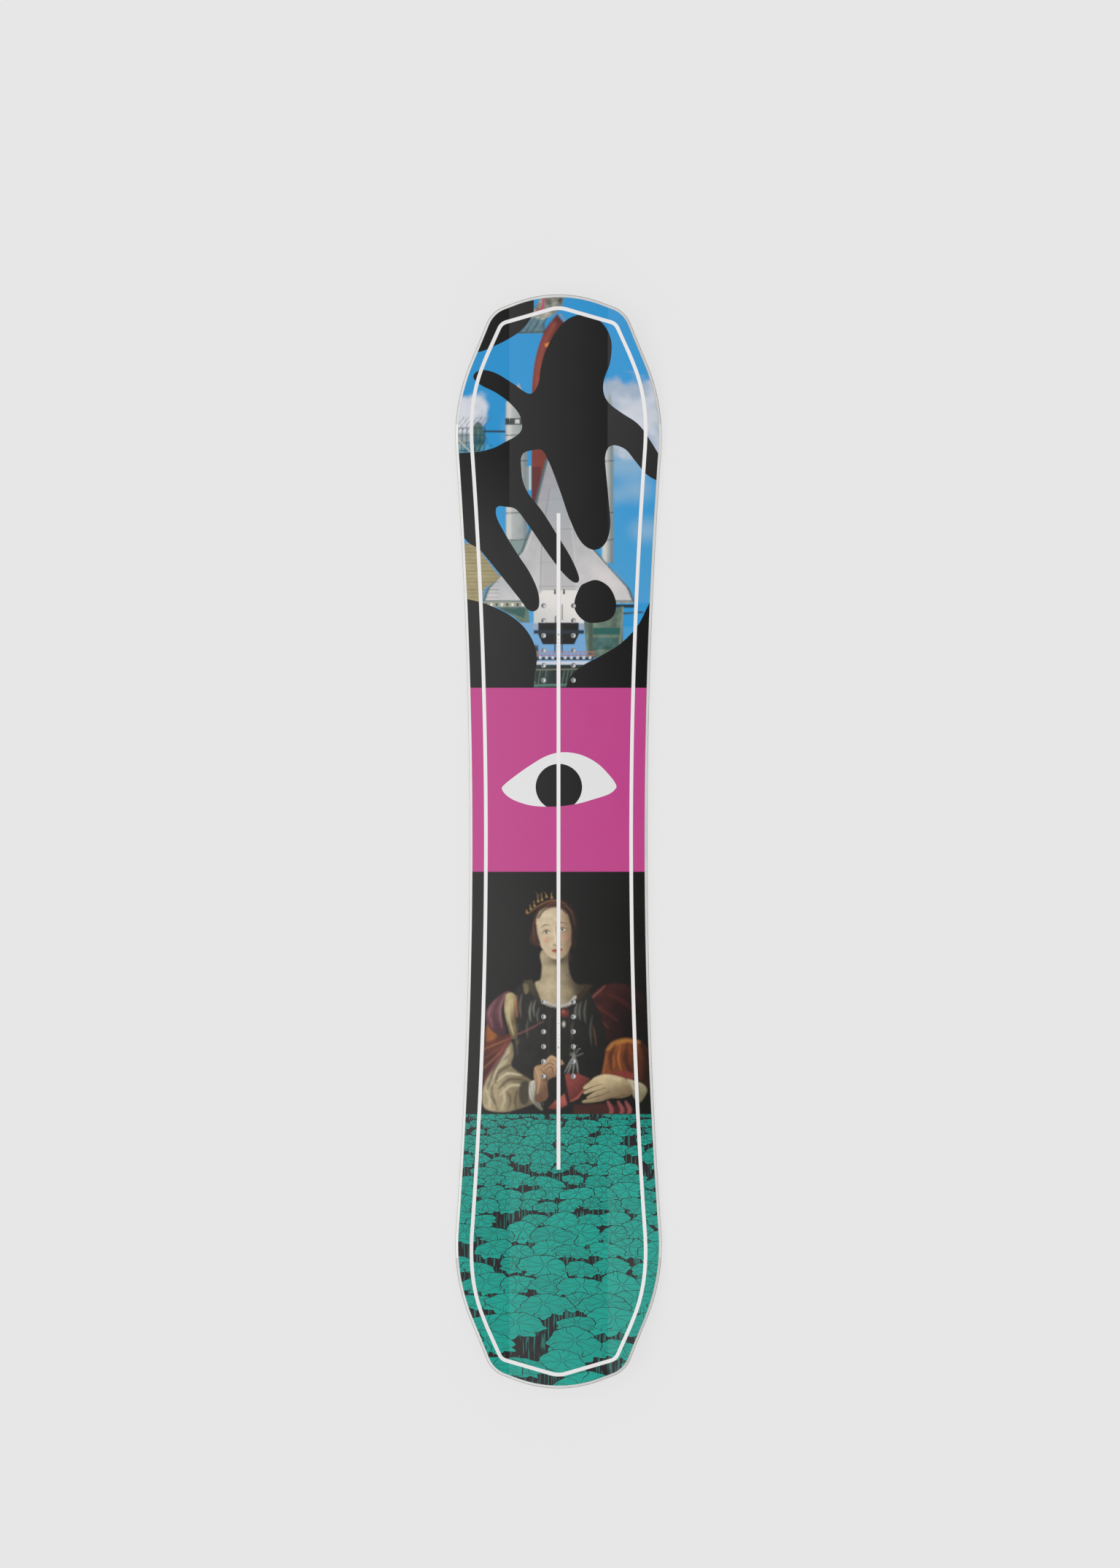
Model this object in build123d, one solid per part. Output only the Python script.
"""Twin-tip snowboard, built as the stack of pieces that is pressed together in the mould.

Frame: millimetres, +Z up, +Y towards the nose, +X to the rider's right when looking at the nose.
The origin is on the ground, halfway between nose and tail. The board lies on its base.

Every layer follows the same bottom surface: a cambered centre, kicked-up ends, and a base with
three panels, whose two side panels fold upwards towards the nose and the tail.
A layer is a slab between two heights above that surface, cut to an inset of the board's outline.
"""

from build123d import *
from functools import lru_cache
from math import cos, radians, tan
import os

# Outline
LENGTH = 1460.0
WAIST = 239.0
TIP_RADIUS = 170.0
NOSE_LINE_ANGLE = 20.0  # fall of the blunt nose line away from the tip
CORNER_X = 89.6  # sharp corner between the nose line and the side line, before rounding
CORNER_RADIUS = 40.0
SIDE_LINE_ANGLE = 23.3  # the side line's lean from the board's axis
SHOULDER_Y = 585.0  # where the side line would meet the sidecut, before rounding
SHOULDER_RADIUS = 250.0

# Side profile of the base
CAMBER = 4.0
CONTACT_Y = 505.0
KICK_RADIUS = 490.0
END_Y = LENGTH / 2 + 30  # the slabs run past the outline, which then cuts them
STATION_STEP = 20.0

# Three-panel base: the folds, and how far the side panels lift
FOLD_X = 66.0
FOLD_ANGLE = 4.0
FOLD_START_Y = 345.0
FOLD_FULL_Y = 545.0

# Heights of the layers above the bottom of the base
BOND = 0.03  # resin line between two layers
SIDEWALL_BOND = 0.08
BASE_TOP = 1.2
EDGE_TOP = 1.8
TANG_BOTTOM = 1.25
FOIL_THICKNESS = 0.2
LOWER_GLASS_TOP = 2.6
CORE_BOTTOM = LOWER_GLASS_TOP + BOND
CORE_THICK = 6.4
CORE_THIN = 1.6
CORE_TAPER_START_Y = 335.0
CORE_TAPER_END_Y = 620.0
UPPER_GLASS_THICKNESS = 0.7
TOPSHEET_THICKNESS = 0.5

# Insets from the outline
EDGE_WIDTH = 2.0
TANG_REACH = 7.0
GLASS_INSET = 0.4
FOIL_INSET = 0.5
SIDEWALL_FOOT_INSET = 0.5
SIDEWALL_HEAD_INSET = 3.7
SIDEWALL_WIDTH = 9.0
SPACER_INSET = 0.9
UPPER_GLASS_INSET = 3.8
TOPSHEET_INSET = 4.0

# Core
SIDEWALL_END_Y = 560.0
CORE_END_RADIUS = 610.0
STRIP_EDGES = [10.0, 30.0, 48.0, FOLD_X, 88.0]
STRIP_NAMES = ["beech_insert", "poplar_inner", "paulownia_inner", "poplar_outer", "paulownia_outer"]

# Binding inserts: two columns of six for each foot
STANCE = 532.0
COLUMN_SPACING = 40.0
ROW_SPACING = 20.0
ROWS = 6
THREAD_MINOR_RADIUS = 2.5  # M6 x 1
BARREL_RADIUS = 4.0
FLANGE_RADIUS = 8.0
FLANGE_THICKNESS = 1.2
INSERT_FLOOR = 0.8
INSERT_LIFT = 0.12  # keeps the level flange clear of the slightly sloping laminate
INSERT_SINK = 0.25  # the barrel's mouth sits this far under the topsheet's face
MAT_WIDTH = 80.0
MAT_LENGTH = 170.0
MAT_THICKNESS = 0.3


def smooth_step(value, start, end):
    share = min(1.0, max(0.0, (value - start) / (end - start)))
    return share * share * (3 - 2 * share)


def centre_profile(y):
    """Height of the base along the board's centre line."""
    distance = abs(y)
    slope = 2 * CAMBER / CONTACT_Y  # of the camber where it meets the kick
    lowest = -slope * slope * KICK_RADIUS / 2
    if distance <= CONTACT_Y:
        return CAMBER * (1 - (distance / CONTACT_Y) ** 2) - lowest
    kick = distance - CONTACT_Y
    return kick * kick / (2 * KICK_RADIUS) - slope * kick - lowest


def base_height(x, y):
    """Height of the bottom of the base at any point."""
    lift = tan(radians(FOLD_ANGLE)) * smooth_step(abs(y), FOLD_START_Y, FOLD_FULL_Y)
    return centre_profile(y) + lift * max(0.0, abs(x) - FOLD_X)


def core_top(y):
    taper = smooth_step(abs(y), CORE_TAPER_START_Y, CORE_TAPER_END_Y)
    return CORE_BOTTOM + CORE_THICK + (CORE_THIN - CORE_THICK) * taper


def upper_glass_top(y):
    return core_top(y) + BOND + UPPER_GLASS_THICKNESS


def topsheet_top(y):
    return upper_glass_top(y) + BOND + TOPSHEET_THICKNESS


# Slabs between two heights above the base surface


def level(value):
    """A height or an x position as a function of y."""
    return value if callable(value) else lambda y: value


def slab_from_corners(corners, half_length):
    """A solid whose cross-section at each y is the polygon of (x, height above the base) corners."""
    steps = round(2 * half_length / STATION_STEP)
    stations = [half_length * (2 * i / steps - 1) for i in range(steps + 1)]
    parameters = [i / steps for i in range(steps + 1)]

    def rail_points(x, height):
        return [(x(y), y, base_height(x(y), y) + height(y)) for y in stations]

    points = [rail_points(level(x), level(height)) for x, height in corners]
    rails = [Edge.make_spline(line, parameters=parameters) for line in points]
    faces = [
        Face.make_surface_from_curves(rail, rails[(i + 1) % len(rails)]) for i, rail in enumerate(rails)
    ]
    for end in (0, -1):
        faces.append(Face(Wire.make_polygon([line[end] for line in points])))
    solid = Solid(Shell(faces))
    return solid if solid.volume > 0 else Solid(solid.wrapped.Reversed())


@lru_cache(maxsize=None)
def slab(bottom, top):
    """A full-width slab, creased along both folds."""
    reach = WAIST
    across = [-reach, -FOLD_X, FOLD_X, reach]
    corners = [(x, bottom) for x in across] + [(x, top) for x in reversed(across)]
    return slab_from_corners(corners, END_Y)


# Flat outlines and the upright prisms that cut the slabs


@lru_cache(maxsize=None)
def outline(inset=0.0):
    """The board's plan shape, pulled in by the inset."""
    tip_y = LENGTH / 2 + TIP_RADIUS * (1 / cos(radians(NOSE_LINE_ANGLE)) - 1)
    corner_y = tip_y - CORNER_X * tan(radians(NOSE_LINE_ANGLE))
    shoulder_x = CORNER_X + (corner_y - SHOULDER_Y) * tan(radians(SIDE_LINE_ANGLE))
    edges = []
    for side in (1, -1):
        shoulder = (side * shoulder_x, SHOULDER_Y)
        tail_shoulder = (side * shoulder_x, -SHOULDER_Y)
        edges.append(ThreePointArc(shoulder, (side * WAIST / 2, 0), tail_shoulder))
        for end in (1, -1):
            corner = (side * CORNER_X, end * corner_y)
            edges.append(Line((0, end * tip_y), corner))
            edges.append(Line(corner, (side * shoulder_x, end * SHOULDER_Y)))
    shape = make_face(edges)
    for y, radius in ((tip_y, TIP_RADIUS), (corner_y, CORNER_RADIUS), (SHOULDER_Y, SHOULDER_RADIUS)):
        shape = fillet([v for v in shape.vertices() if abs(abs(v.Y) - y) < 0.01], radius)
    return offset(shape, amount=-inset) if inset else shape


@lru_cache(maxsize=None)
def prism(inset=0.0):
    return upright(outline(inset))


def upright(sketch):
    """A flat shape raised into a prism that passes right through the board."""
    return Pos(0, 0, -20) * extrude(sketch, 120)


@lru_cache(maxsize=None)
def core_plan(clearance=0.0):
    ends = upright(Circle(CORE_END_RADIUS + clearance))
    return prism(SIDEWALL_WIDTH + SIDEWALL_BOND - clearance) & ends


@lru_cache(maxsize=None)
def half_width(y):
    """Half of the board's width at y, from the outline itself."""
    line = Edge.make_line((0, y, 0), (WAIST, y, 0))
    return outline().face().intersect(line).edges()[0].bounding_box().max.X


def right_half(shape):
    """The part of a shape right of the centre line, with half a bond line taken off."""
    box = Box(WAIST, 2 * LENGTH, 200, align=(Align.MIN, Align.CENTER, Align.CENTER))
    return shape & (Pos(BOND / 2, 0, 0) * box)


# Running base, steel edges and the rubber foil over them


def base_sheet():
    return slab(0.0, BASE_TOP) & prism(EDGE_WIDTH + BOND)


def right_steel_edge():
    """A T-edge: a square rail that shows outside, and a thin tang that lies on the base sheet."""
    ring = slab(0.0, EDGE_TOP) & (prism() - prism(TANG_REACH))
    return right_half(ring - (slab(-3.0, TANG_BOTTOM) & prism(EDGE_WIDTH)))


def right_damping_foil():
    foil_bottom = EDGE_TOP + BOND
    ring = slab(foil_bottom, foil_bottom + FOIL_THICKNESS) & (prism(FOIL_INSET) - prism(TANG_REACH))
    return right_half(ring)


# Glass laminates and topsheet


def lower_laminate():
    """Full width above, with a rebate below that clears the edge tang and its foil."""
    rebate_top = EDGE_TOP + FOIL_THICKNESS + 2 * BOND
    sheet = slab(BASE_TOP + BOND, LOWER_GLASS_TOP) & prism(GLASS_INSET)
    return sheet - (slab(-3.0, rebate_top) - prism(TANG_REACH + 0.2))


def upper_laminate():
    sheet = slab(core_bonded_top, upper_glass_top) & prism(UPPER_GLASS_INSET)
    return sheet - insert_bores(BARREL_RADIUS + 0.1)


def core_bonded_top(y):
    return core_top(y) + BOND


def glass_bonded_top(y):
    return upper_glass_top(y) + BOND


def topsheet():
    sheet = slab(glass_bonded_top, topsheet_top) & prism(TOPSHEET_INSET)
    return sheet - insert_bores(BARREL_RADIUS + 0.3)


# Core, sidewalls and tip spacers


def right_sidewall():
    """A plastic wall beside the core, with its outer face bevelled inwards towards the top."""

    def inset_by(inset):
        return lambda y: half_width(y) - inset

    corners = [
        (inset_by(SIDEWALL_WIDTH), CORE_BOTTOM),
        (inset_by(SIDEWALL_FOOT_INSET), CORE_BOTTOM),
        (inset_by(SIDEWALL_HEAD_INSET), core_top),
        (inset_by(SIDEWALL_WIDTH), core_top),
    ]
    return slab_from_corners(corners, SIDEWALL_END_Y)


def nose_spacer():
    """Plastic fill beyond the core, with two horns that run down to the sidewalls."""
    plan = prism(SPACER_INSET) - core_plan(BOND)
    beyond = Box(2 * WAIST, LENGTH, 200, align=(Align.CENTER, Align.MIN, Align.CENTER))
    return slab(CORE_BOTTOM, core_top) & (plan & (Pos(0, SIDEWALL_END_Y + BOND, 0) * beyond))


def core_strip(left_x, right_x):
    corners = [
        (left_x + BOND / 2, CORE_BOTTOM),
        (right_x - BOND / 2, CORE_BOTTOM),
        (right_x - BOND / 2, core_top),
        (left_x + BOND / 2, core_top),
    ]
    strip = slab_from_corners(corners, END_Y) & core_plan()
    if left_x < MAT_WIDTH / 2:
        strip -= mat_pockets()
    if left_x < COLUMN_SPACING / 2 < right_x:
        strip -= insert_bores(BARREL_RADIUS + 0.1)
        strip -= flange_pockets()
    return strip


# Binding mounts


def mat_plan(foot, clearance=0.0):
    shape = RectangleRounded(MAT_WIDTH + 2 * clearance, MAT_LENGTH + 2 * clearance, 12)
    return upright(Pos(0, foot * STANCE / 2) * shape)


def mat_bottom(y):
    return core_top(y) - MAT_THICKNESS


@lru_cache(maxsize=None)
def mat_pockets():
    plans = mat_plan(1, 0.2) + mat_plan(-1, 0.2)
    return slab(lambda y: mat_bottom(y) - BOND, lambda y: core_top(y) + 1) & plans


def insert_mat(foot):
    """A glass mat over the inserts of one foot, let into the top of the core."""
    return (slab(mat_bottom, core_top) & mat_plan(foot)) - insert_bores(BARREL_RADIUS + 0.1)


def insert_places(foot):
    """(x, y) of the twelve inserts of one foot."""
    rows = [foot * STANCE / 2 + ROW_SPACING * (row - (ROWS - 1) / 2) for row in range(ROWS)]
    return [(side * COLUMN_SPACING / 2, y) for side in (-1, 1) for y in rows]


def flange_floor(y):
    return base_height(COLUMN_SPACING / 2, y) + LOWER_GLASS_TOP + INSERT_LIFT


@lru_cache(maxsize=None)
def insert_bores(radius):
    bores = [Pos(x, y, 0) * Cylinder(radius, 100) for foot in (1, -1) for x, y in insert_places(foot)]
    return Part() + bores


@lru_cache(maxsize=None)
def flange_pockets():
    depth = FLANGE_THICKNESS + 0.1
    pocket = Cylinder(FLANGE_RADIUS + 0.15, depth + 3, align=(Align.CENTER, Align.CENTER, Align.MAX))
    pockets = [
        Pos(x, y, flange_floor(y) + depth) * pocket for foot in (1, -1) for x, y in insert_places(foot)
    ]
    return Part() + pockets


def threaded_insert(height):
    """A flanged T-nut with a blind hole at the thread's minor diameter, standing on its flange."""
    base = (Align.CENTER, Align.CENTER, Align.MIN)
    nut = Cylinder(FLANGE_RADIUS, FLANGE_THICKNESS, align=base) + Cylinder(BARREL_RADIUS, height, align=base)
    nut -= Pos(0, 0, INSERT_FLOOR) * Cylinder(THREAD_MINOR_RADIUS, height, align=base)
    for turn in (30, 150, 270):  # holes that let the resin key into the flange
        nut -= Rot(0, 0, turn) * Pos((BARREL_RADIUS + FLANGE_RADIUS) / 2, 0, 0) * Cylinder(1.1, 10)
    mouth = nut.edges().filter_by(GeomType.CIRCLE).sort_by(Axis.Z)[-2:]
    return chamfer(mouth.sort_by(SortBy.RADIUS)[0], 0.5)


def foot_inserts(foot):
    nuts = []
    for x, y in insert_places(foot):
        mouth = base_height(x, y) + topsheet_top(y) - INSERT_SINK
        nuts.append(Pos(x, y, flange_floor(y)) * threaded_insert(mouth - flange_floor(y)))
    return Compound(children=nuts)


def save(node, shape):
    export_step(Compound(children=list(shape.solids())), f"parts/{node}.step")


def save_pair(node, shape):
    """Saves a piece of the right side, and its mirror image for the left."""
    save(f"{node}_right", shape)
    save(f"{node}_left", mirror(shape, Plane.YZ))


os.makedirs("parts", exist_ok=True)

save("base_sheet", base_sheet())
save("lower_laminate", lower_laminate())
save("upper_laminate", upper_laminate())
save("topsheet", topsheet())
save_pair("steel_edge", right_steel_edge())
save_pair("damping_foil", right_damping_foil())
save_pair("sidewall", right_sidewall())

spacer = nose_spacer()
save("nose_spacer", spacer)
save("tail_spacer", mirror(spacer, Plane.XZ))

save("core_poplar_centre", core_strip(-STRIP_EDGES[0], STRIP_EDGES[0]))
for strip_name, inner_x, outer_x in zip(STRIP_NAMES, STRIP_EDGES, STRIP_EDGES[1:] + [WAIST]):
    save_pair(f"core_{strip_name}", core_strip(inner_x, outer_x))

for foot, foot_name in ((1, "nose"), (-1, "tail")):
    save(f"{foot_name}_foot_insert_mat", insert_mat(foot))
    save(f"{foot_name}_foot_inserts", foot_inserts(foot))
